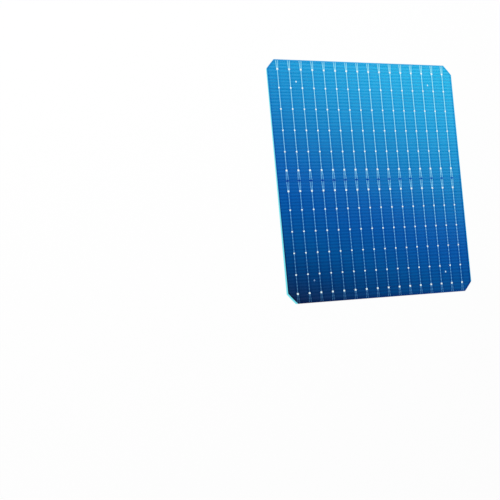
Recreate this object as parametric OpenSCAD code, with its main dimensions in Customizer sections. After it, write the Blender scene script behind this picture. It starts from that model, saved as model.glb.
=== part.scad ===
// Bifacial silicon solar cell with printed silver grids, laid out to be cut into two halves.
// It lies on its rear side. The origin is the middle of the cell on the surface below it.
// +Z is the sunny side, the busbars run along Y, and the cut line lies along y = 0.
// All sizes are in millimetres.

/* [Wafer] */
// Width of the wafer, across the busbars
wafer_w = 182; // [150:1:210]
// Height of the wafer, along the busbars
wafer_h = 182; // [150:1:210]
// Thickness of the bare wafer
wafer_t = 0.15; // [0.1:0.01:0.3]
// Diameter of the ingot, which leaves the wafer with cut corners
ingot_d = 247; // [236:1:300]

/* [Fingers] */
// Distance from one finger to the next
finger_pitch = 1.121; // [0.8:0.001:2]
// Width of a finger
finger_w = 0.04; // [0.02:0.005:0.1]
// Height of the finger print
finger_t = 0.015; // [0.005:0.001:0.03]
// Bare strip between the fingers and the edge of the wafer
finger_edge = 0.7; // [0.4:0.1:2]

/* [Busbars] */
// Number of busbars on each side
bar_count = 16; // [6:1:20]
// Distance of the outer busbars from the side edges
bar_margin = 10; // [6:0.5:20]
// Width of a busbar line on the front
bar_w = 0.5; // [0.1:0.05:1]
// Width of a soldering strip on the rear
rear_bar_w = 0.6; // [0.2:0.05:1.5]
// Height of the busbar print
bar_t = 0.015; // [0.005:0.001:0.03]
// Bare strip between the busbar tips and the edge of the wafer
tip_edge = 0.6; // [0.3:0.05:2]
// Distance of the busbar tips from the cut line
tip_cut = 0.5; // [0.2:0.05:2]

/* [Solder pads] */
// Number of pads along each half of a front busbar
pad_count = 6; // [4:1:10]
// Width of a pad, across the busbar
pad_w = 1.3; // [0.6:0.1:2]
// Length of a pad, along the busbar
pad_l = 1.1; // [0.4:0.1:2]
// Width of the pad that carries a fork
end_pad_w = 1.6; // [0.8:0.1:3]
// Length of the pad that carries a fork
end_pad_l = 1.3; // [0.6:0.1:3]
// Distance of the outer end pads from the edge of the wafer
pad_edge = 7.25; // [3:0.25:12]
// Distance of the inner end pads from the cut line
pad_cut = 7.75; // [3:0.25:12]
// Distance from an end pad to the next pad
pad_end_step = 14; // [8:0.5:18]

/* [Forked tips] */
// Width of a tine where it leaves its pad
tine_root = 0.55; // [0.1:0.05:0.75]
// Width of a tine at its tip
tine_w = 0.4; // [0.1:0.05:0.6]
// Distance between the middles of the two tines at their tips
tine_tip = 2.1; // [1.2:0.1:4]

/* [Alignment marks] */
// Diameter of an alignment mark
mark_d = 1.3; // [0.5:0.1:2]
// Distance of the alignment marks from the edge of the wafer
mark_edge = 16; // [10:0.5:30]

/* [Hidden] */

// Levels of the layers, from the surface that the cell lies on
rear_finger_z = bar_t;
wafer_z = rear_finger_z + finger_t;
front_finger_z = wafer_z + wafer_t;
front_bar_z = front_finger_z + finger_t;

// The fingers of a half start half a pitch from the cut line
finger_count = floor((wafer_h / 2 - finger_edge) / finger_pitch + 0.5);
bar_pitch = (wafer_w - 2 * bar_margin) / (bar_count - 1);
// The pads between the first and the last two are spread evenly
pad_step = (wafer_h / 2 - pad_cut - pad_edge - 2 * pad_end_step) / (pad_count - 3);
// Width that a fork takes up at its tips
fork_w = tine_tip + tine_w;
// The marks lie between the second and the third busbar, each on the finger next to its place
mark_x = bar_x(1) + bar_pitch / 2;
mark_finger = floor((wafer_h / 2 - mark_edge) / finger_pitch);

// Level of the edge of the wafer above the cut line, inset away from the edge all round
function edge_y(x, inset = 0) =
    min(wafer_h / 2 - inset, sqrt(pow(ingot_d / 2 - inset, 2) - x * x));

// Distance of the edge of the wafer from its upright middle line, inset away from the edge all round
function edge_x(y, inset = 0) =
    min(wafer_w / 2 - inset, sqrt(pow(ingot_d / 2 - inset, 2) - y * y));

function finger_y(k) = (k + 0.5) * finger_pitch;

function bar_x(i) = (i - (bar_count - 1) / 2) * bar_pitch;

// Place of an inner pad of a half, counted from the end pad at the cut line
function pad_y(k) = pad_cut + pad_end_step + (k - 1) * pad_step;

// The upper half as it is drawn, and its mirror image as the lower half
module both_halves() {
    children();
    mirror([0, 1, 0]) children();
}

// Outline of the fingers of the upper half
module fingers_outline() {
    for (k = [0 : finger_count - 1])
        translate([0, finger_y(k)])
            square([2 * edge_x(finger_y(k), finger_edge), finger_w], center = true);
}

// Outline of the alignment marks of the upper half, which are printed with the fingers
module marks_outline() {
    for (side = [-1, 1])
        translate([side * mark_x, finger_y(mark_finger)])
            circle(d = mark_d, $fn = 12);
}

// End pad with two tapered tines that spread from its corners to tips at the given distance
module forked_pad(reach) {
    square([end_pad_w, end_pad_l], center = true);
    for (side = [-1, 1])
        polygon([
            [side * (end_pad_w / 2 - tine_root), end_pad_l / 2],
            [side * end_pad_w / 2, end_pad_l / 2],
            [side * (tine_tip + tine_w) / 2, reach],
            [side * (tine_tip - tine_w) / 2, reach]
        ]);
}

// Outline of the upper half of the front busbar i: line, pads and forks in one print
module front_busbar_outline(i) {
    edge = edge_y(abs(bar_x(i)) + fork_w / 2);
    line_l = edge - pad_edge - pad_cut;
    translate([bar_x(i), 0]) {
        translate([-bar_w / 2, pad_cut])
            square([bar_w, line_l]);
        for (k = [1 : pad_count - 2])
            translate([0, pad_y(k)])
                square([pad_w, pad_l], center = true);
        translate([0, pad_cut])
            mirror([0, 1])
                forked_pad(pad_cut - tip_cut);
        translate([0, edge - pad_edge])
            forked_pad(pad_edge - tip_edge);
    }
}

// Outline of the upper half of the rear soldering strip i
module rear_busbar_outline(i) {
    edge = edge_y(abs(bar_x(i)) + rear_bar_w / 2);
    translate([bar_x(i) - rear_bar_w / 2, tip_cut])
        square([rear_bar_w, edge - tip_edge - tip_cut]);
}

module silicon_wafer() {
    color("#0b5c9e")
        translate([0, 0, wafer_z])
            linear_extrude(wafer_t)
                intersection() {
                    square([wafer_w, wafer_h], center = true);
                    circle(d = ingot_d, $fn = 180);
                }
}

module front_fingers() {
    color("lightsteelblue")
        both_halves()
            translate([0, 0, front_finger_z])
                linear_extrude(finger_t) {
                    fingers_outline();
                    marks_outline();
                }
}

module front_busbars() {
    color("white")
        both_halves()
            for (i = [0 : bar_count - 1])
                translate([0, 0, front_bar_z])
                    linear_extrude(bar_t)
                        front_busbar_outline(i);
}

module rear_fingers() {
    color("lightsteelblue")
        both_halves()
            translate([0, 0, rear_finger_z])
                linear_extrude(finger_t)
                    fingers_outline();
}

module rear_busbars() {
    color("white")
        both_halves()
            for (i = [0 : bar_count - 1])
                linear_extrude(bar_t)
                    rear_busbar_outline(i);
}

silicon_wafer();
front_fingers();
front_busbars();
rear_fingers();
rear_busbars();
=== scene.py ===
"""Looks of a printed silicon solar cell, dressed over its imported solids.

The cell lies on its rear side on a white table. X runs across the busbars, Y along them
and Z out of the sunny side. Lengths are in metres, and MM turns a millimetre into them.
The finishes that draw on the face measure it in millimetres.
"""

from __future__ import annotations

import logging
import math
from collections.abc import Iterable, Sequence
from dataclasses import dataclass
from enum import Enum

import bpy
from mathutils import Matrix, Vector


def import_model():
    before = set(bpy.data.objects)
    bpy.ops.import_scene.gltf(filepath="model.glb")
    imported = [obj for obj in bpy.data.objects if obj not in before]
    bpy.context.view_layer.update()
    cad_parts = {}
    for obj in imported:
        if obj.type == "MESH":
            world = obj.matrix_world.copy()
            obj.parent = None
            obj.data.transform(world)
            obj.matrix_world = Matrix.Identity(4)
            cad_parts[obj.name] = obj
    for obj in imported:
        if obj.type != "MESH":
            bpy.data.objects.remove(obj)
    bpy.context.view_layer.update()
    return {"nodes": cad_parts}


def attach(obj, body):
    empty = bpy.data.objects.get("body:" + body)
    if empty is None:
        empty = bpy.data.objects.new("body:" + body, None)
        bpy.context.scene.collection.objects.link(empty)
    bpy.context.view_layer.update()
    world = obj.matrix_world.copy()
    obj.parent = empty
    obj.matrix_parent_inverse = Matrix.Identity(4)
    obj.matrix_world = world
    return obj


LOG = logging.getLogger("solar_cell")
MM = 0.001
ROOT_BODY = "root"
NOISE_MEAN = 0.5
FAR_AWAY = 100.0

Material = bpy.types.Material
Object = bpy.types.Object
Socket = bpy.types.NodeSocket
Value = float | Socket
Triple = tuple[float, float, float]
Colour = tuple[float, float, float, float]
Paint = Colour | Socket
Shades = tuple[tuple[float, Colour], ...]
Rows = tuple[tuple[float, float], ...]
Input = Value | Sequence[float] | Material

WHITE: Colour = (1.0, 1.0, 1.0, 1.0)


def from_srgb(red: int, green: int, blue: int) -> Colour:
    """Turns a screen colour into the linear one that shaders use.

    Args:
        red: Red from 0 to 255.
        green: Green from 0 to 255.
        blue: Blue from 0 to 255.

    Returns:
        The linear colour with full alpha.
    """
    shares = [value / 255 for value in (red, green, blue)]
    linear = [s / 12.92 if s <= 0.04045 else ((s + 0.055) / 1.055) ** 2.4 for s in shares]
    return (linear[0], linear[1], linear[2], 1.0)


class Side(Enum):
    """The two printed sides of the cell."""

    FRONT = "front"
    REAR = "rear"


class Graph:
    """Adds and links the nodes of one node tree."""

    def __init__(self, tree: bpy.types.NodeTree) -> None:
        """Keeps the tree that the nodes go into."""
        self.tree = tree

    def add(
        self, kind: str, inputs: dict[str | int, Input] | None = None, **settings: object
    ) -> bpy.types.Node:
        """Adds a node.

        Args:
            kind: Blender's name for the type of the node.
            inputs: What its inputs get, by their names or numbers.
            settings: Properties of the node, by name.

        Returns:
            The new node.
        """
        node = self.tree.nodes.new(kind)
        for name, value in settings.items():
            setattr(node, name, value)
        for key, value in (inputs or {}).items():
            self.feed(node.inputs[key], value)
        return node

    def feed(self, socket: Socket, value: Input) -> None:
        """Links an output to a socket, or sets the socket to a constant.

        Args:
            socket: The input to feed.
            value: An output socket, a number, a colour, a vector or a material.
        """
        if isinstance(value, Socket):
            self.tree.links.new(value, socket)
        else:
            socket.default_value = value

    def math(self, operation: str, a: Value, b: Value = 0.0, clamp: bool = False) -> Socket:
        """Adds one step of arithmetic, held between 0 and 1 if clamp says so, and gives its result."""
        return self.add("ShaderNodeMath", {0: a, 1: b}, operation=operation, use_clamp=clamp).outputs[0]

    def split(self, vector: Socket) -> list[Socket]:
        """Splits a vector into its X, Y and Z."""
        return list(self.add("ShaderNodeSeparateXYZ", {0: vector}).outputs)


class ShaderGraph(Graph):
    """The node tree of one material, with short calls for what the finishes use."""

    def __init__(self, name: str) -> None:
        """Makes an empty material.

        Args:
            name: Name of the material.
        """
        self.material = bpy.data.materials.new(name)
        self.material.use_nodes = True
        super().__init__(self.material.node_tree)
        self.tree.nodes.clear()

    def linear(self, value: Value, factor: Value, start: float) -> Socket:
        """Gives a value times a factor, counted from a start."""
        return self.math("ADD", self.math("MULTIPLY", value, factor), start)

    def below(self, value: Value, limit: Value, soft: float) -> Socket:
        """Masks where a value lies below a limit, from 1 to 0 over a border as wide as soft."""
        away = self.math("DIVIDE", self.math("SUBTRACT", limit, value), soft)
        return self.math("ADD", away, 0.5, clamp=True)

    def mix(self, share: Value, low: Paint, high: Paint, blend: str = "MIX") -> Socket:
        """Mixes two colours, with as much of the second one as the share says."""
        # Inputs 6 and 7 and output 2 are the node's sockets for colours
        inputs = {0: share, 6: low, 7: high}
        return self.add("ShaderNodeMix", inputs, data_type="RGBA", blend_type=blend).outputs[2]

    def tint(self, colour: Paint, factor: Paint, share: Value = 1.0) -> Socket:
        """Multiplies a colour by another, as far as a share says, and gives the result."""
        return self.mix(share, colour, factor, "MULTIPLY")

    def combine(self, red: Value, green: Value, blue: Value) -> Socket:
        """Joins three numbers into a linear colour."""
        return self.add("ShaderNodeCombineColor", {0: red, 1: green, 2: blue}).outputs[0]

    def shaded(self, colour: Paint, brightness: Socket) -> Socket:
        """Multiplies a colour by a brightness and gives the result."""
        return self.tint(colour, self.combine(brightness, brightness, brightness))

    def ramp(self, place: Value, stops: Iterable[tuple[float, Colour]]) -> Socket:
        """Looks up a colour along a row of stops.

        Args:
            place: Where to look, from 0 to 1.
            stops: Place and colour of each stop.

        Returns:
            The colour's socket.
        """
        node = self.add("ShaderNodeValToRGB", {0: place})
        elements = node.color_ramp.elements
        # A new ramp already has two stops
        for index, (where, colour) in enumerate(stops):
            element = elements[index] if index < 2 else elements.new(where)
            element.position = where
            element.color = colour
        return node.outputs[0]

    def noise(self, per_metre: Triple, detail: float = 2.0) -> Socket:
        """Adds noise over the object's own coordinates.

        Args:
            per_metre: Waves for each metre along X, Y and Z.
            detail: The Noise node's detail.

        Returns:
            The noise's factor, about NOISE_MEAN on average.
        """
        place = self.add("ShaderNodeTexCoord").outputs["Object"]
        mapping = self.add("ShaderNodeMapping", {"Vector": place, "Scale": per_metre})
        inputs = {"Vector": mapping.outputs[0], "Scale": 1.0, "Detail": detail}
        return self.add("ShaderNodeTexNoise", inputs).outputs[0]

    def tone(self, noise: Socket, swing: float) -> Socket:
        """Turns noise into a brightness that goes up and down from 1 by a swing."""
        return self.linear(self.math("SUBTRACT", noise, NOISE_MEAN), 2 * swing, 1.0)

    def place_mm(self) -> tuple[Socket, Socket]:
        """Gives X and Y of a place in the object's own coordinates, in millimetres."""
        x, y, _ = self.split(self.add("ShaderNodeTexCoord").outputs["Object"])
        return self.math("DIVIDE", x, MM), self.math("DIVIDE", y, MM)

    def to_rows(self, y: Socket, rows: Rows) -> Value:
        """Measures how far a place lies outside the nearest row of the same print on both halves.

        Args:
            y: The place's Y in millimetres.
            rows: Distance of each row's middle from the cut line, and its length.

        Returns:
            The distance in millimetres, below 0 inside a row.
        """
        level = self.math("ABSOLUTE", y)
        nearest: Value = FAR_AWAY
        for row, length in rows:
            away = self.math("ABSOLUTE", self.math("SUBTRACT", level, row / MM))
            nearest = self.math("MINIMUM", self.math("SUBTRACT", away, length / MM / 2), nearest)
        return nearest

    def facing_up(self) -> Socket:
        """Gives the Z part of the surface's own normal, from -1 to 1."""
        return self.split(self.add("ShaderNodeTexCoord").outputs["Normal"])[2]

    def bump(self, height: Socket, distance: float, strength: float) -> Socket:
        """Turns a height from 0 to 1 into a normal, where 1 stands for a distance in metres."""
        inputs = {"Strength": strength, "Distance": distance, "Height": height}
        return self.add("ShaderNodeBump", inputs).outputs[0]

    def surface(self, **inputs: Input) -> Material:
        """Ends the tree in a Principled shader.

        Args:
            inputs: Values of the shader's inputs, with _ for a blank in their names.

        Returns:
            The finished material.
        """
        named = {name.replace("_", " "): value for name, value in inputs.items()}
        shader = self.add("ShaderNodeBsdfPrincipled", named)
        self.add("ShaderNodeOutputMaterial", {"Surface": shader.outputs[0]})
        return self.material


@dataclass(frozen=True)
class CellLayout:
    """Sizes of the wafer and of its print, the same as the solids have."""

    side: float = 182 * MM
    ingot_d: float = 247 * MM
    wafer_t: float = 0.15 * MM
    finger_t: float = 0.015 * MM
    bar_t: float = 0.015 * MM
    bar_count: int = 16
    bar_margin: float = 10 * MM
    finger_pitch: float = 1.121 * MM
    fingers_per_half: int = 81
    inner_pads_per_half: int = 4
    pad_edge: float = 7.25 * MM
    pad_cut: float = 7.75 * MM
    pad_end_step: float = 14 * MM
    pad_clear: float = 1.0 * MM
    tip_cut: float = 0.5 * MM
    tip_edge: float = 0.6 * MM
    mark_edge: float = 16 * MM

    @property
    def wafer_bottom(self) -> float:
        """Level of the wafer's rear face."""
        return self.bar_t + self.finger_t

    @property
    def wafer_top(self) -> float:
        """Level of the wafer's front face."""
        return self.wafer_bottom + self.wafer_t

    @property
    def finger_top(self) -> float:
        """Level of the top of the front fingers."""
        return self.wafer_top + self.finger_t

    @property
    def print_top(self) -> float:
        """Level of the top of the front busbars."""
        return self.finger_top + self.bar_t

    @property
    def bars_span(self) -> float:
        """Distance between the middles of the first and the last busbar."""
        return self.side - 2 * self.bar_margin

    @property
    def bar_pitch(self) -> float:
        """Distance from one busbar to the next."""
        return self.bars_span / (self.bar_count - 1)

    @property
    def finger_count(self) -> int:
        """Number of fingers on one side."""
        return 2 * self.fingers_per_half

    @property
    def fingers_span(self) -> float:
        """Distance between the middles of the first and the last finger."""
        return (self.finger_count - 1) * self.finger_pitch

    def bar_places(self) -> list[float]:
        """Gives X of every busbar."""
        return [index * self.bar_pitch - self.bars_span / 2 for index in range(self.bar_count)]

    def busbar_run(self, side: Side) -> tuple[float, float]:
        """Measures the line of a half busbar.

        Args:
            side: The side of the cell.

        Returns:
            Where the line starts and ends, counted from the cut line.
        """
        if side is Side.REAR:
            return self.tip_cut, self.side / 2 - self.tip_edge
        return self.pad_cut + self.pad_clear, self.side / 2 - self.pad_edge - self.pad_clear

    def mark_places(self) -> list[Triple]:
        """Places the alignment marks on a finger, between the second and the third busbar from a side.

        Returns:
            The middle of each mark on top of the fingers.
        """
        x = self.bars_span / 2 - 1.5 * self.bar_pitch
        finger = (self.side / 2 - self.mark_edge) // self.finger_pitch
        y = (finger + 0.5) * self.finger_pitch
        return [(side * x, half * y, self.finger_top) for side in (-1, 1) for half in (-1, 1)]

    def fork_rows(self) -> Rows:
        """Measures the forks of a half from their pads to their tips.

        Returns:
            Distance of each row's middle from the cut line, and its length.
        """
        edge = self.side / 2
        runs = ((self.tip_cut, self.pad_cut), (edge - self.pad_edge, edge - self.tip_edge))
        return tuple(((start + end) / 2, end - start) for start, end in runs)

    def end_pad_rows(self) -> list[float]:
        """Gives how far from the cut line the pads lie that carry a fork."""
        return [self.pad_cut, self.side / 2 - self.pad_edge]

    def inner_pad_rows(self) -> list[float]:
        """Spreads the pads between the end pads evenly.

        Returns:
            How far from the cut line they lie.
        """
        first = self.pad_cut + self.pad_end_step
        last = self.side / 2 - self.pad_edge - self.pad_end_step
        steps = self.inner_pads_per_half - 1
        return [first + (last - first) * step / steps for step in range(steps + 1)]

    def pad_places(self, rows: Sequence[float]) -> list[Triple]:
        """Gives the middle of each pad on top of the print, for rows counted from the cut line."""
        levels = [half * row for half in (-1, 1) for row in rows]
        return [(bar, level, self.print_top) for bar in self.bar_places() for level in levels]


class FaceRuler:
    """Measures in millimetres where a place on the face lies."""

    quarter_soft: float = 0.1

    def __init__(self, graph: ShaderGraph, layout: CellLayout) -> None:
        """Reads the place.

        Args:
            graph: The material's tree.
            layout: Sizes of the cell.
        """
        self.graph = graph
        self.fork_rows = layout.fork_rows()
        self.half_side = layout.side / MM / 2
        self.half_pitch = layout.bar_pitch / MM / 2
        self.ingot_radius = layout.ingot_d / MM / 2
        self.x, self.y = graph.place_mm()

    def to_bar(self) -> Socket:
        """Gives the distance from the middle of the nearest busbar."""
        off_middle = self.graph.math("PINGPONG", self.x, self.half_pitch)
        return self.graph.math("SUBTRACT", self.half_pitch, off_middle)

    def to_left(self) -> Socket:
        """Gives the distance from the left edge."""
        return self.graph.math("ADD", self.half_side, self.x)

    def to_side(self) -> Socket:
        """Gives the distance from the nearer of the left and the right edge."""
        return self.graph.math("SUBTRACT", self.half_side, self.graph.math("ABSOLUTE", self.x))

    def to_end(self) -> Socket:
        """Gives the distance from the nearer of the upper and the lower edge."""
        return self.graph.math("SUBTRACT", self.half_side, self.graph.math("ABSOLUTE", self.y))

    def to_corner(self) -> Socket:
        """Measures the distance from the ingot's round, which the corner cuts follow.

        Returns:
            The distance's socket.
        """
        squares = [self.graph.math("MULTIPLY", place, place) for place in (self.x, self.y)]
        radius = self.graph.math("SQRT", self.graph.math("ADD", *squares))
        return self.graph.math("SUBTRACT", self.ingot_radius, radius)

    def in_lower_left(self) -> Socket:
        """Masks the lower left quarter of the face."""
        halves = [self.graph.below(place, 0.0, self.quarter_soft) for place in (self.x, self.y)]
        return self.graph.math("MULTIPLY", *halves)


@dataclass(frozen=True)
class Grain:
    """Noise over the object's own coordinates, used as a brightness."""

    waves: Triple
    swing: float
    detail: float = 2.0

    def noise(self, graph: ShaderGraph) -> Socket:
        """Gives the noise itself."""
        return graph.noise(self.waves, self.detail)

    def tone(self, graph: ShaderGraph) -> Socket:
        """Gives the brightness, around 1."""
        return graph.tone(self.noise(graph), self.swing)


@dataclass(frozen=True)
class LightAndShadeSweep:
    """A painted run of light and shade over the face of the cell, dark at its lower left and bright at its
    upper right.
    """

    across: float = 0.333
    along: float = 0.943
    twist: float = 0.12
    half_side: float = CellLayout.side / MM / 2
    reach: float = 1.4

    def share(self, graph: ShaderGraph) -> Socket:
        """Gives how far along the run a place lies.

        Args:
            graph: The material's tree.

        Returns:
            A share from 0 at the lower left to 1 at the upper right.
        """
        x, y = (graph.math("DIVIDE", place, self.half_side) for place in graph.place_mm())
        slope = graph.linear(y, self.twist, self.across)
        run = graph.math("ADD", graph.math("MULTIPLY", x, slope), graph.math("MULTIPLY", y, self.along))
        return graph.math("ADD", graph.math("DIVIDE", run, 2 * self.reach), 0.5, clamp=True)

    def shade(self, graph: ShaderGraph, shades: Shades) -> Socket:
        """Looks up a colour along the run, where shades lie in half sides from the middle."""
        stops = [(0.5 + run / (2 * self.reach), colour) for run, colour in shades]
        return graph.ramp(self.share(graph), stops)


@dataclass(frozen=True)
class Bands:
    """Fine wavering bands along the fingers, fainter towards the top of the cell."""

    swings: Triple = (0.45, 0.115, 0.085)
    pitch: float = 2.5
    shift: float = 7.0
    shift_waves: Triple = (9.0, 90.0, 1.0)
    patches: Grain = Grain((45.0, 500.0, 1.0), 1.2)
    middle: float = 1.3
    fading: float = 0.002

    def wave(self, graph: ShaderGraph) -> Socket:
        """Draws the bands as a wave around 0.

        Args:
            graph: The material's tree.

        Returns:
            The wave's socket.
        """
        _, y = graph.place_mm()
        waver = graph.math("SUBTRACT", graph.noise(self.shift_waves), NOISE_MEAN)
        turns = graph.math("MULTIPLY", y, math.tau / self.pitch)
        wave = graph.math("COSINE", graph.math("ADD", turns, graph.math("MULTIPLY", waver, self.shift)))
        strength = graph.math("MAXIMUM", graph.linear(y, -self.fading, self.middle), 0.0)
        return graph.math("MULTIPLY", graph.math("MULTIPLY", wave, self.patches.tone(graph)), strength)

    def tint(self, graph: ShaderGraph) -> Socket:
        """Gives the bands as a colour factor around 1."""
        wave = self.wave(graph)
        return graph.combine(*(graph.linear(wave, swing, 1.0) for swing in self.swings))


@dataclass(frozen=True)
class BarShadeStrips:
    """Strips of painted shade beside each busbar, between two distances from its middle, darker downwards.
    """

    inside: float = 0.8
    inside_soft: float = 0.4
    outside: float = 2.1
    outside_soft: float = 1.2
    depth: float = 0.6
    deepening: float = 0.003
    tint: Colour = (0.0, 0.7, 0.84, 1.0)

    def draw(self, ruler: FaceRuler, colour: Socket) -> Socket:
        """Draws the strips of painted shade.

        Args:
            ruler: The face's ruler.
            colour: Colour of the face so far.

        Returns:
            The colour with the strips.
        """
        graph = ruler.graph
        to_bar = ruler.to_bar()
        too_near = graph.below(to_bar, self.inside, self.inside_soft)
        near = graph.below(to_bar, self.outside, self.outside_soft)
        strip = graph.math("MINIMUM", near, graph.math("SUBTRACT", 1.0, too_near))
        # Painted shade beside the busbar, deeper towards the bottom of the cell
        share = graph.math("MULTIPLY", strip, graph.linear(ruler.y, -self.deepening, self.depth))
        return graph.tint(colour, self.tint, share)


@dataclass(frozen=True)
class ForkHaze:
    """The thin film of paste that the print leaves between the tines of each fork."""

    half: float = 0.35
    half_soft: float = 0.7
    end_soft: float = 0.6
    share: float = 0.26
    light_sweep: LightAndShadeSweep = LightAndShadeSweep()
    # The paste's colours get darker towards the lower left by painted shade
    shades: Shades = (
        (-1.28, from_srgb(32, 71, 113)),
        (-0.46, from_srgb(98, 172, 225)),
        (1.1, from_srgb(185, 252, 255)),
    )

    def draw(self, ruler: FaceRuler, colour: Socket) -> Socket:
        """Draws the film.

        Args:
            ruler: The face's ruler.
            colour: Colour of the face so far.

        Returns:
            The colour with the film.
        """
        graph = ruler.graph
        between = graph.below(ruler.to_bar(), self.half, self.half_soft)
        at_fork = graph.below(graph.to_rows(ruler.y, ruler.fork_rows), 0.0, self.end_soft)
        share = graph.math("MULTIPLY", graph.math("MULTIPLY", between, at_fork), self.share)
        return graph.mix(share, colour, self.light_sweep.shade(graph, self.shades))


@dataclass(frozen=True)
class CutLine:
    """The bare line along which the cell is cut in two, wider and deeper at the busbars."""

    half: float = 0.42
    half_more: float = 0.3
    soft: float = 0.36
    depth: float = 0.3
    depth_more: float = 0.7
    bar_reach: float = 1.2
    bar_soft: float = 1.2
    tint: Colour = (0.0, 0.32, 0.7, 1.0)

    def draw(self, ruler: FaceRuler, colour: Socket) -> Socket:
        """Draws the line.

        Args:
            ruler: The face's ruler.
            colour: Colour of the face so far.

        Returns:
            The colour with the line.
        """
        graph = ruler.graph
        at_bar = graph.below(ruler.to_bar(), self.bar_reach, self.bar_soft)
        half = graph.linear(at_bar, self.half_more, self.half)
        at_line = graph.below(graph.math("ABSOLUTE", ruler.y), half, self.soft)
        share = graph.math("MULTIPLY", at_line, graph.linear(at_bar, self.depth_more, self.depth))
        return graph.tint(colour, self.tint, share)


@dataclass(frozen=True)
class Border:
    """The border of the face: a band of painted shade that gets darker downwards, and a painted sheen along
    the sides.
    """

    side_share: float = 0.72
    outside: float = 0.45
    outside_soft: float = 0.3
    inside: float = 1.5
    inside_soft: float = 0.5
    depth: float = 0.62
    deepening: float = 0.0035
    tint: Colour = (0.1, 0.45, 0.72, 1.0)
    sheen: Colour = from_srgb(20, 190, 235)
    sheen_share: float = 0.65
    sheen_reach: float = 0.7
    sheen_soft: float = 0.4

    def draw(self, ruler: FaceRuler, colour: Socket) -> Socket:
        """Draws the band of painted shade and the painted sheen.

        Args:
            ruler: The face's ruler.
            colour: Colour of the face so far.

        Returns:
            The colour with the border.
        """
        graph = ruler.graph
        to_side = ruler.to_side()
        inset = graph.math("MINIMUM", ruler.to_end(), ruler.to_corner())
        inset = graph.math("MINIMUM", graph.math("MULTIPLY", to_side, self.side_share), inset)
        near = graph.below(inset, self.inside, self.inside_soft)
        band = graph.math("SUBTRACT", near, graph.below(inset, self.outside, self.outside_soft))
        # Painted shade in a band near the edges, deeper towards the bottom
        share = graph.math("MULTIPLY", band, graph.linear(ruler.y, -self.deepening, self.depth))
        colour = graph.tint(colour, self.tint, share)
        # Painted sheen along the left and right edges
        at_side = graph.below(to_side, self.sheen_reach, self.sheen_soft)
        return graph.mix(graph.math("MULTIPLY", at_side, self.sheen_share), colour, self.sheen)


@dataclass(frozen=True)
class LeftRimLightAndShade:
    """A painted highlight on the rim of the left edge and the lower left corner, beside a line of painted
    shade that gets darker towards the lower left corner.
    """

    bright: Colour = from_srgb(127, 234, 245)
    width: float = 0.9
    widening: float = 0.005
    corner_width: float = 1.3
    soft: float = 0.25
    dark: Colour = from_srgb(0, 8, 46)
    shade_width: float = 1.0
    shade_soft: float = 0.7
    shade_deepening: float = 0.011

    def draw(self, ruler: FaceRuler, colour: Socket, grain: Grain) -> Socket:
        """Draws the rim's painted highlight and the line of painted shade.

        Args:
            ruler: The face's ruler.
            colour: Colour of the face so far.
            grain: Speckle of the rim.

        Returns:
            The colour with the rim.
        """
        graph = ruler.graph
        to_left = ruler.to_left()
        to_corner = ruler.to_corner()
        lower_left = ruler.in_lower_left()
        width = graph.linear(ruler.y, -self.widening, self.width)
        to_rim = graph.math("SUBTRACT", graph.math("MINIMUM", to_left, to_corner), width)
        # Painted shade in a line beside the rim, darker towards the lower left corner
        line = graph.math("MULTIPLY", graph.below(to_rim, self.shade_width, self.shade_soft), lower_left)
        depth = graph.math("MULTIPLY", ruler.y, -self.shade_deepening, clamp=True)
        colour = graph.mix(graph.math("MULTIPLY", line, depth), colour, self.dark)
        # Painted highlight on the left edge and the lower left corner
        at_corner = graph.math("MULTIPLY", graph.below(to_corner, self.corner_width, self.soft), lower_left)
        at_rim = graph.math("MAXIMUM", graph.below(to_left, width, self.soft), at_corner)
        return graph.mix(at_rim, colour, graph.shaded(self.bright, grain.tone(graph)))


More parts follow.
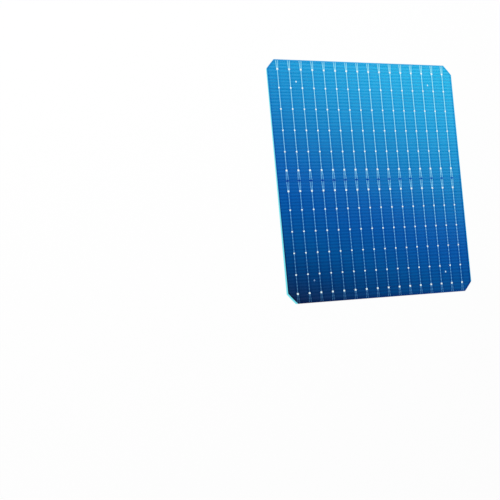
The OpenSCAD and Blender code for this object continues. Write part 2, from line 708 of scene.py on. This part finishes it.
@dataclass(frozen=True)
class CoatedSilicon:
    """Textured silicon under its blue coating, greyer on the rear side."""

    layout: CellLayout
    light_sweep: LightAndShadeSweep = LightAndShadeSweep()
    # The blue is the coating's own; its run from dark navy at the lower left to bright cyan at the upper
    # right is painted light and shade
    shades: Shades = (
        (-1.16, from_srgb(17, 25, 58)),
        (-0.9, from_srgb(0, 62, 122)),
        (-0.7, from_srgb(1, 80, 149)),
        (-0.4, from_srgb(5, 86, 167)),
        (-0.2, from_srgb(11, 97, 177)),
        (0.8, from_srgb(31, 167, 224)),
        (1.4, from_srgb(34, 187, 235)),
    )
    clouds: Grain = Grain((55.0, 55.0, 1.0), 0.05)
    speckle: Grain = Grain((5200.0, 5200.0, 1.0), 0.16, detail=4.0)
    bands: Bands = Bands()
    strips: BarShadeStrips = BarShadeStrips()
    haze: ForkHaze = ForkHaze()
    cut: CutLine = CutLine()
    border: Border = Border()
    rim: LeftRimLightAndShade = LeftRimLightAndShade()
    rear: Colour = from_srgb(52, 72, 104)
    mottling: Grain = Grain((120.0, 120.0, 1.0), 0.1, detail=4.0)
    rear_limit: float = -0.5
    rear_soft: float = 0.2
    roughness: float = 0.3
    roughness_swing: float = 0.12
    roughness_waves: Triple = (300.0, 300.0, 300.0)
    gloss: float = 0.05
    gloss_tint: Colour = (0.03, 0.3, 1.0, 1.0)
    pyramid_waves: Triple = (26000.0, 26000.0, 26000.0)
    pyramid_detail: float = 1.0
    pyramid_height: float = 0.004 * MM
    pyramid_strength: float = 0.25

    def front_colour(self, graph: ShaderGraph) -> Socket:
        """Draws the front: the coating with its painted light and shade, its bands, painted shade strips and
        cut line, the border's painted shade and sheen, and the rim's painted highlight.

        Args:
            graph: The material's tree.

        Returns:
            The colour's socket.
        """
        ruler = FaceRuler(graph, self.layout)
        brightness = graph.math("MULTIPLY", self.clouds.tone(graph), self.speckle.tone(graph))
        colour = graph.shaded(self.light_sweep.shade(graph, self.shades), brightness)
        colour = graph.tint(colour, self.bands.tint(graph))
        for feature in (self.strips, self.haze, self.cut, self.border):
            colour = feature.draw(ruler, colour)
        return self.rim.draw(ruler, colour, self.speckle)

    def rear_colour(self, graph: ShaderGraph) -> Socket:
        """Draws the mottled rear."""
        brightness = graph.math("MULTIPLY", self.mottling.tone(graph), self.speckle.tone(graph))
        return graph.shaded(self.rear, brightness)

    def material(self) -> Material:
        """Makes the material.

        Returns:
            The finished material.
        """
        graph = ShaderGraph("coated_silicon")
        on_rear = graph.below(graph.facing_up(), self.rear_limit, self.rear_soft)
        unevenness = graph.noise(self.roughness_waves)
        pyramids = graph.noise(self.pyramid_waves, self.pyramid_detail)
        return graph.surface(
            Base_Color=graph.mix(on_rear, self.front_colour(graph), self.rear_colour(graph)),
            Roughness=graph.linear(unevenness, self.roughness_swing, self.roughness),
            Specular_IOR_Level=self.gloss,
            Specular_Tint=self.gloss_tint,
            Normal=graph.bump(pyramids, self.pyramid_height, self.pyramid_strength),
        )


@dataclass(frozen=True)
class PrintedSilver:
    """Fired silver paste: matt and grainy, with painted shade that makes it duller towards the lower left of
    the cell.
    """

    name: str
    shades: Shades
    light_sweep: LightAndShadeSweep = LightAndShadeSweep()
    grain: Grain = Grain((9000.0, 9000.0, 9000.0), 0.3, detail=4.0)
    grain_height: float = 0.006 * MM
    grain_strength: float = 0.6
    roughness: float = 0.45
    roughness_swing: float = 0.2
    gloss: float = 0.15

    def colour(self, graph: ShaderGraph) -> Socket:
        """Gives the colour of the paste before its grain, painted shade included."""
        return self.light_sweep.shade(graph, self.shades)

    def material(self) -> Material:
        """Makes the material.

        Returns:
            The finished material.
        """
        graph = ShaderGraph(self.name)
        grain = self.grain.noise(graph)
        return graph.surface(
            Base_Color=graph.shaded(self.colour(graph), graph.tone(grain, self.grain.swing)),
            Roughness=graph.linear(grain, self.roughness_swing, self.roughness),
            Specular_IOR_Level=self.gloss,
            Normal=graph.bump(grain, self.grain_height, self.grain_strength),
        )


@dataclass(frozen=True)
class TinnedSilver(PrintedSilver):
    """The busbar print of the front, whose lines are beaded and whose pads are tinned white."""

    beads: Bands = Bands(
        swings=(0.36, 0.25, 0.14),
        shift=12.0,
        shift_waves=(95.0, 60.0, 1.0),
        patches=Grain((95.0, 300.0, 1.0), 0.6),
        middle=0.75,
        fading=0.012,
    )
    bottom_shade_below: float = -84.6
    bottom_shade_soft: float = 0.4
    bottom_shade_tint: Colour = (0.7, 0.78, 0.82, 1.0)
    fork_rows: Rows = ()
    fork_soft: float = 1.5
    fork_tint: Colour = (0.78, 0.9, 0.97, 1.0)
    # The tin is white; it gets darker towards the lower left by painted shade
    tin: Shades = ((-1.4, from_srgb(208, 238, 246)), (0.4, from_srgb(228, 249, 252)))
    tin_rows: Rows = ()
    tin_soft: float = 0.06

    def colour(self, graph: ShaderGraph) -> Socket:
        """Draws the lines, the forks, which are duller, painted shade on the print along the bottom edge,
        and the pads.

        Args:
            graph: The material's tree.

        Returns:
            The colour before its grain.
        """
        _, y = graph.place_mm()
        line = graph.tint(super().colour(graph), self.beads.tint(graph))
        # Painted shade on the print along the bottom edge
        at_bottom = graph.below(y, self.bottom_shade_below, self.bottom_shade_soft)
        line = graph.tint(line, self.bottom_shade_tint, at_bottom)
        on_fork = graph.below(graph.to_rows(y, self.fork_rows), 0.0, self.fork_soft)
        line = graph.tint(line, self.fork_tint, on_fork)
        on_pad = graph.below(graph.to_rows(y, self.tin_rows), 0.0, self.tin_soft)
        return graph.mix(on_pad, line, self.light_sweep.shade(graph, self.tin))


@dataclass(frozen=True)
class TableTop:
    """White table that shows white to the camera and still takes the shadow of the cell."""

    paint: Colour = (0.98, 0.98, 0.98, 1.0)
    shadow_share: float = 0.2

    def material(self) -> Material:
        """Makes the material.

        Returns:
            The finished material.
        """
        graph = ShaderGraph("white_table")
        paint = graph.add("ShaderNodeBsdfDiffuse", {"Color": self.paint})
        glow = graph.add("ShaderNodeEmission")
        share = graph.math("MULTIPLY", seen_directly(graph), 1.0 - self.shadow_share)
        mixed = graph.add("ShaderNodeMixShader", {0: share, 1: paint.outputs[0], 2: glow.outputs[0]})
        graph.add("ShaderNodeOutputMaterial", {"Surface": mixed.outputs[0]})
        return graph.material


def seen_directly(graph: Graph) -> Socket:
    """Masks the rays that show a background: those of the camera, of gloss and of glass.

    Args:
        graph: The tree that the nodes go into.

    Returns:
        A mask that is 1 for those rays.
    """
    path = graph.add("ShaderNodeLightPath")
    total = path.outputs["Is Camera Ray"]
    for name in ("Is Glossy Ray", "Is Transmission Ray"):
        total = graph.math("MAXIMUM", total, path.outputs[name])
    return total


class PieceGraph(Graph):
    """A Geometry Nodes tree with named inputs, run once to make one plain mesh."""

    def __init__(self, name: str) -> None:
        """Makes an empty tree with a geometry input and output.

        Args:
            name: Name of the piece.
        """
        super().__init__(bpy.data.node_groups.new(name, "GeometryNodeTree"))
        self.name = name
        for way in ("INPUT", "OUTPUT"):
            self.tree.interface.new_socket("Geometry", in_out=way, socket_type="NodeSocketGeometry")
        self.inputs = self.add("NodeGroupInput")
        self.values: dict[str, float | int] = {}

    def size(self, name: str, value: float | int) -> Socket:
        """Adds a named input and keeps its value for the run.

        Args:
            name: Name of the input.
            value: A length, a count or a seed.

        Returns:
            The input's socket inside the tree.
        """
        kind = "NodeSocketInt" if isinstance(value, int) else "NodeSocketFloat"
        socket = self.tree.interface.new_socket(name, in_out="INPUT", socket_type=kind)
        self.values[socket.identifier] = value
        return self.inputs.outputs[name]

    def position(self) -> list[Socket]:
        """Gives X, Y and Z of each point."""
        return self.split(self.add("GeometryNodeInputPosition").outputs[0])

    def vector(self, x: Value, y: Value, z: Value) -> Socket:
        """Joins three numbers into a vector."""
        return self.add("ShaderNodeCombineXYZ", {0: x, 1: y, 2: z}).outputs[0]

    def repeat(self, points: Socket, shape: Socket, size: Socket) -> bpy.types.Node:
        """Puts a shape of about one metre on every point, scaled along X, Y and Z."""
        return self.add("GeometryNodeInstanceOnPoints", {"Points": points, "Instance": shape, "Scale": size})

    def end(self, instances: Socket, material: Material) -> None:
        """Ends the tree: real geometry with its material.

        Args:
            instances: The instances to make real.
            material: The material that they get.
        """
        real = self.add("GeometryNodeRealizeInstances", {0: instances})
        dressed = self.add("GeometryNodeSetMaterial", {"Geometry": real.outputs[0], "Material": material})
        self.add("NodeGroupOutput", {0: dressed.outputs[0]})

    def run(self, points: Sequence[Triple] = ()) -> Object:
        """Runs the tree and keeps its result as a plain mesh object at the origin.

        Args:
            points: Points that go in as the tree's geometry.

        Returns:
            The piece.
        """
        source = bpy.data.meshes.new(f"{self.name}_points")
        source.from_pydata(points, [], [])
        piece = bpy.data.objects.new(self.name, source)
        bpy.context.scene.collection.objects.link(piece)
        modifier = piece.modifiers.new("build", "NODES")
        modifier.node_group = self.tree
        for identifier, value in self.values.items():
            modifier[identifier] = value
        evaluated = piece.evaluated_get(bpy.context.evaluated_depsgraph_get())
        mesh = bpy.data.meshes.new_from_object(evaluated)
        piece.modifiers.remove(modifier)
        piece.data = mesh
        mesh.name = self.name
        bpy.data.meshes.remove(source)
        return piece


@dataclass(frozen=True)
class Crown:
    """The crowned top of a printed pad or mark, with corners rounded from 0, square, to 0.5, round."""

    width: float
    length: float
    rise: float
    corner: float
    points: int = 5
    fall: float = 1.6

    def shape(self, graph: PieceGraph) -> Socket:
        """Shapes one crown from a block of one metre.

        Args:
            graph: The crowns' tree.

        Returns:
            The crown's geometry.
        """
        counts = {"Vertices X": self.points, "Vertices Y": self.points, "Vertices Z": 2}
        block = graph.add("GeometryNodeMeshCube", counts)
        x, y, z = graph.position()
        square_x = graph.math("MULTIPLY", x, x)
        square_y = graph.math("MULTIPLY", y, y)
        # The block reaches half a metre from its middle, so four times a square goes up to 1
        corner = graph.math("MULTIPLY", graph.size("Corner", self.corner), 4.0)
        pulled: list[Socket] = []
        for place, square in ((x, square_y), (y, square_x)):
            kept = graph.math("SUBTRACT", 1.0, graph.math("MULTIPLY", corner, square))
            pulled.append(graph.math("MULTIPLY", place, graph.math("SQRT", kept)))
        off_middle = graph.math("ADD", square_x, square_y)
        drop = graph.math("MULTIPLY", off_middle, graph.size("Fall", self.fall))
        lift = graph.math("MULTIPLY", graph.math("ADD", z, 0.5), graph.math("SUBTRACT", 1.0, drop))
        inputs = {"Geometry": block.outputs["Mesh"], "Position": graph.vector(*pulled, lift)}
        return graph.add("GeometryNodeSetPosition", inputs).outputs[0]

    def piece(self, name: str, places: Sequence[Triple], material: Material) -> Object:
        """Makes one crown at each place.

        Args:
            name: Name of the piece.
            places: Where the crowns' undersides lie.
            material: Their finish.

        Returns:
            The crowns as one piece.
        """
        graph = PieceGraph(name)
        shape = self.shape(graph)
        sizes = (("Width", self.width), ("Length", self.length), ("Rise", self.rise))
        size = graph.vector(*(graph.size(label, value) for label, value in sizes))
        crowns = graph.repeat(graph.inputs.outputs["Geometry"], shape, size)
        graph.end(crowns.outputs[0], material)
        return graph.run(places)


def dress(node: Object, material: Material) -> None:
    """Gives a solid of the frame its finish.

    Args:
        node: The solid.
        material: The finish.
    """
    for slot in node.material_slots:
        slot.material = material
    LOG.info("dressed %s in %s", node.name, material.name)


def mount(piece: Object) -> None:
    """Fixes a new piece to the cell and logs how many faces it has.

    Args:
        piece: The piece.
    """
    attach(piece, ROOT_BODY)
    LOG.info("made %s with %d faces", piece.name, len(piece.data.polygons))


@dataclass
class Wafer:
    """The coated wafer."""

    layout: CellLayout

    def build(self, nodes: dict[str, Object]) -> None:
        """Dresses the wafer's solid."""
        dress(nodes["silicon_wafer"], CoatedSilicon(self.layout).material())


@dataclass
class FingerPrint:
    """The fine fingers of both sides, with the flares where they run into a busbar."""

    layout: CellLayout
    flare_length: float = 1.5 * MM
    flare_width: float = 0.16 * MM
    flare_height: float = 0.016 * MM
    flare_corners: int = 4
    spread: float = 0.15
    seed: int = 7
    mark: Crown = Crown(1.3 * MM, 1.3 * MM, 0.02 * MM, 0.5, points=9)
    # The silver's colours get darker towards the lower left by painted shade
    silver: PrintedSilver = PrintedSilver(
        "finger_silver",
        (
            (-1.28, from_srgb(14, 60, 112)),
            (-0.5, from_srgb(24, 92, 150)),
            (0.3, from_srgb(110, 165, 215)),
            (1.28, from_srgb(185, 222, 245)),
        ),
    )
    rear_silver: PrintedSilver = PrintedSilver(
        "rear_finger_silver", ((-1.4, from_srgb(168, 174, 182)), (1.4, from_srgb(182, 187, 194)))
    )
    # The marks' colours get darker towards the lower left by painted shade
    mark_silver: PrintedSilver = PrintedSilver(
        "mark_silver",
        (
            (-1.28, from_srgb(58, 92, 138)),
            (-0.95, from_srgb(112, 150, 196)),
            (-0.6, from_srgb(196, 236, 252)),
            (1.28, from_srgb(216, 248, 254)),
        ),
    )

    def build(self, nodes: dict[str, Object]) -> None:
        """Dresses the fingers and adds the flares and the tops of the alignment marks.

        Args:
            nodes: The frame's solids by name.
        """
        for side, finish in ((Side.FRONT, self.silver), (Side.REAR, self.rear_silver)):
            material = finish.material()
            dress(nodes[f"{side.value}_fingers"], material)
            mount(self.flares(side, material))
        marks = self.mark.piece("mark_crowns", self.layout.mark_places(), self.mark_silver.material())
        mount(marks)

    def flares(self, side: Side, material: Material) -> Object:
        """Makes one flare at each crossing of a finger and a busbar.

        Args:
            side: The side of the cell.
            material: The flares' finish.

        Returns:
            The flares as one piece.
        """
        graph = PieceGraph(f"finger_flares_{side.value}")
        crossings = self.crossings(graph)
        # A cone of one metre, which the flares' size then scales
        cone = {"Vertices": self.flare_corners, "Radius Bottom": 0.5, "Depth": 1.0}
        flare = graph.add("GeometryNodeMeshCone", cone)
        placed = graph.repeat(crossings, flare.outputs["Mesh"], self.flare_size(graph))
        graph.feed(placed.inputs["Selection"], self.beside_busbar(graph, side))
        level, turn = self.layout.wafer_top, 0.0
        if side is Side.REAR:
            level, turn = self.layout.wafer_bottom, math.pi
        pose = {"Translation": (0.0, 0.0, level), "Rotation": (turn, 0.0, 0.0)}
        turned = graph.add("GeometryNodeTransform", {"Geometry": placed.outputs[0]} | pose)
        graph.end(turned.outputs[0], material)
        return graph.run()

    def crossings(self, graph: PieceGraph) -> Socket:
        """Lays out a grid with a point at each crossing of a finger and a busbar.

        Args:
            graph: The flares' tree.

        Returns:
            The grid's geometry.
        """
        inputs = {
            "Size X": graph.size("Busbars Span", self.layout.bars_span),
            "Size Y": graph.size("Fingers Span", self.layout.fingers_span),
            "Vertices X": graph.size("Busbars", self.layout.bar_count),
            "Vertices Y": graph.size("Fingers", self.layout.finger_count),
        }
        return graph.add("GeometryNodeMeshGrid", inputs).outputs["Mesh"]

    def flare_size(self, graph: PieceGraph) -> Socket:
        """Sizes the flares, each a little longer or shorter than the next.

        Args:
            graph: The flares' tree.

        Returns:
            The size's socket.
        """
        spread = graph.size("Spread", self.spread)
        # Inputs 2 and 3 and output 1 are the node's sockets for plain numbers
        inputs = {
            2: graph.math("SUBTRACT", 1.0, spread),
            3: graph.math("ADD", 1.0, spread),
            "Seed": graph.size("Seed", self.seed),
        }
        scatter = graph.add("FunctionNodeRandomValue", inputs, data_type="FLOAT")
        return graph.vector(
            graph.math("MULTIPLY", graph.size("Length", self.flare_length), scatter.outputs[1]),
            graph.size("Width", self.flare_width),
            graph.size("Height", self.flare_height),
        )

    def beside_busbar(self, graph: PieceGraph, side: Side) -> Socket:
        """Selects the crossings at which a busbar runs, which leaves out the forks of the front.

        Args:
            graph: The flares' tree.
            side: The side of the cell.

        Returns:
            The selection's socket.
        """
        run = self.layout.busbar_run(side)
        start, end = (graph.size(name, value) for name, value in zip(("Run Start", "Run End"), run))
        middle = graph.math("MULTIPLY", graph.math("ADD", start, end), 0.5)
        _, y, _ = graph.position()
        away = graph.math("ABSOLUTE", graph.math("SUBTRACT", graph.math("ABSOLUTE", y), middle))
        inputs = {0: away, 1: graph.math("SUBTRACT", end, middle)}
        return graph.add(
            "FunctionNodeCompare", inputs, data_type="FLOAT", operation="LESS_THAN"
        ).outputs[0]


@dataclass
class BusbarPrint:
    """The busbars of both sides, with crowned solder pads on the front."""

    layout: CellLayout
    inner_pad: Crown = Crown(1.3 * MM, 1.1 * MM, 0.02 * MM, 0.2)
    end_pad: Crown = Crown(1.6 * MM, 1.3 * MM, 0.025 * MM, 0.2)
    # The lines' colours get darker towards the lower left by painted shade
    line_shades: Shades = (
        (-1.28, from_srgb(32, 71, 113)),
        (-0.82, from_srgb(80, 145, 197)),
        (-0.46, from_srgb(98, 172, 225)),
        (0.18, from_srgb(155, 226, 253)),
        (1.1, from_srgb(185, 252, 255)),
    )
    # The white tin gets darker towards the lower left by painted shade
    solder: PrintedSilver = PrintedSilver(
        "solder_pad_silver", ((-1.4, from_srgb(222, 245, 250)), (0.4, from_srgb(237, 252, 254)))
    )
    rear_silver: PrintedSilver = PrintedSilver(
        "rear_strip_silver", ((-1.4, from_srgb(204, 209, 214)), (1.4, from_srgb(218, 222, 226)))
    )

    def build(self, nodes: dict[str, Object]) -> None:
        """Dresses the busbars and adds the crowns of the pads.

        Args:
            nodes: The frame's solids by name.
        """
        pads = (
            ("pad_crowns", self.inner_pad, self.layout.inner_pad_rows()),
            ("end_pad_crowns", self.end_pad, self.layout.end_pad_rows()),
        )
        tin_rows = tuple((row, crown.length) for _, crown, rows in pads for row in rows)
        front_silver = TinnedSilver(
            "busbar_silver", self.line_shades, fork_rows=self.layout.fork_rows(), tin_rows=tin_rows
        )
        dress(nodes["front_busbars"], front_silver.material())
        dress(nodes["rear_busbars"], self.rear_silver.material())
        solder = self.solder.material()
        for name, crown, rows in pads:
            mount(crown.piece(name, self.layout.pad_places(rows), solder))


@dataclass
class Studio:
    """The white table, the soft light and the camera."""

    table_half: float = 6.0
    table_level: float = -0.02 * MM
    lamp_at: Triple = (-0.5, 0.9, 1.6)
    lamp_size: float = 1.6
    lamp_power: float = 20.2
    fill: float = 0.57
    eye: Triple = (-0.71299, -0.1101, 0.86995)
    image_right: Triple = (0.82576, -0.08953, 0.55686)
    image_up: Triple = (0.0419, 0.99433, 0.09772)
    lens: float = 105.3
    sensor: float = 36.0

    def build(self) -> None:
        """Sets up everything around the cell."""
        scene = bpy.context.scene
        scene.view_settings.view_transform = "Standard"
        self.table()
        self.lamp()
        self.world()
        scene.camera = self.camera()

    def table(self) -> Object:
        """Makes the table top as one large square.

        Returns:
            The table top.
        """
        half = self.table_half
        outline = ((-half, -half), (half, -half), (half, half), (-half, half))
        mesh = bpy.data.meshes.new("table_top")
        mesh.from_pydata([(x, y, self.table_level) for x, y in outline], [], [range(len(outline))])
        mesh.materials.append(TableTop().material())
        table = bpy.data.objects.new("table_top", mesh)
        bpy.context.scene.collection.objects.link(table)
        return table

    def lamp(self) -> None:
        """Hangs a large soft lamp over the cell."""
        data = bpy.data.lights.new("soft_lamp", "AREA")
        data.shape = "DISK"
        data.size = self.lamp_size
        data.energy = self.lamp_power
        lamp = bpy.data.objects.new("soft_lamp", data)
        lamp.location = self.lamp_at
        lamp.rotation_euler = (-Vector(self.lamp_at)).to_track_quat("-Z", "Y").to_euler()
        bpy.context.scene.collection.objects.link(lamp)

    def world(self) -> None:
        """Lights the room evenly, and shows it white where it is seen."""
        world = bpy.data.worlds.new("white_room")
        world.use_nodes = True
        graph = Graph(world.node_tree)
        graph.tree.nodes.clear()
        inputs: dict[str | int, Input] = {0: seen_directly(graph)}
        for index, strength in enumerate((self.fill, 1.0), start=1):
            background = graph.add("ShaderNodeBackground", {"Color": WHITE, "Strength": strength})
            inputs[index] = background.outputs[0]
        mixed = graph.add("ShaderNodeMixShader", inputs)
        graph.add("ShaderNodeOutputWorld", {"Surface": mixed.outputs[0]})
        bpy.context.scene.world = world

    def camera(self) -> Object:
        """Sets the camera where it sees the cell from the photograph's angle.

        Returns:
            The camera.
        """
        data = bpy.data.cameras.new("camera")
        data.sensor_width = self.sensor
        data.lens = self.lens
        camera = bpy.data.objects.new("camera", data)
        right = Vector(self.image_right).normalized()
        back = right.cross(Vector(self.image_up)).normalized()
        turn = Matrix((right, back.cross(right), back)).transposed()
        camera.matrix_world = Matrix.Translation(self.eye) @ turn.to_4x4()
        bpy.context.scene.collection.objects.link(camera)
        return camera


def main() -> None:
    """Builds the cell's looks over the frame, then the studio around it."""
    logging.basicConfig(level=logging.INFO, format="%(name)s: %(message)s")
    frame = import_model()
    layout = CellLayout()
    for assembly in (Wafer(layout), FingerPrint(layout), BusbarPrint(layout)):
        assembly.build(frame["nodes"])
    Studio().build()


if __name__ == "__main__":
    main()
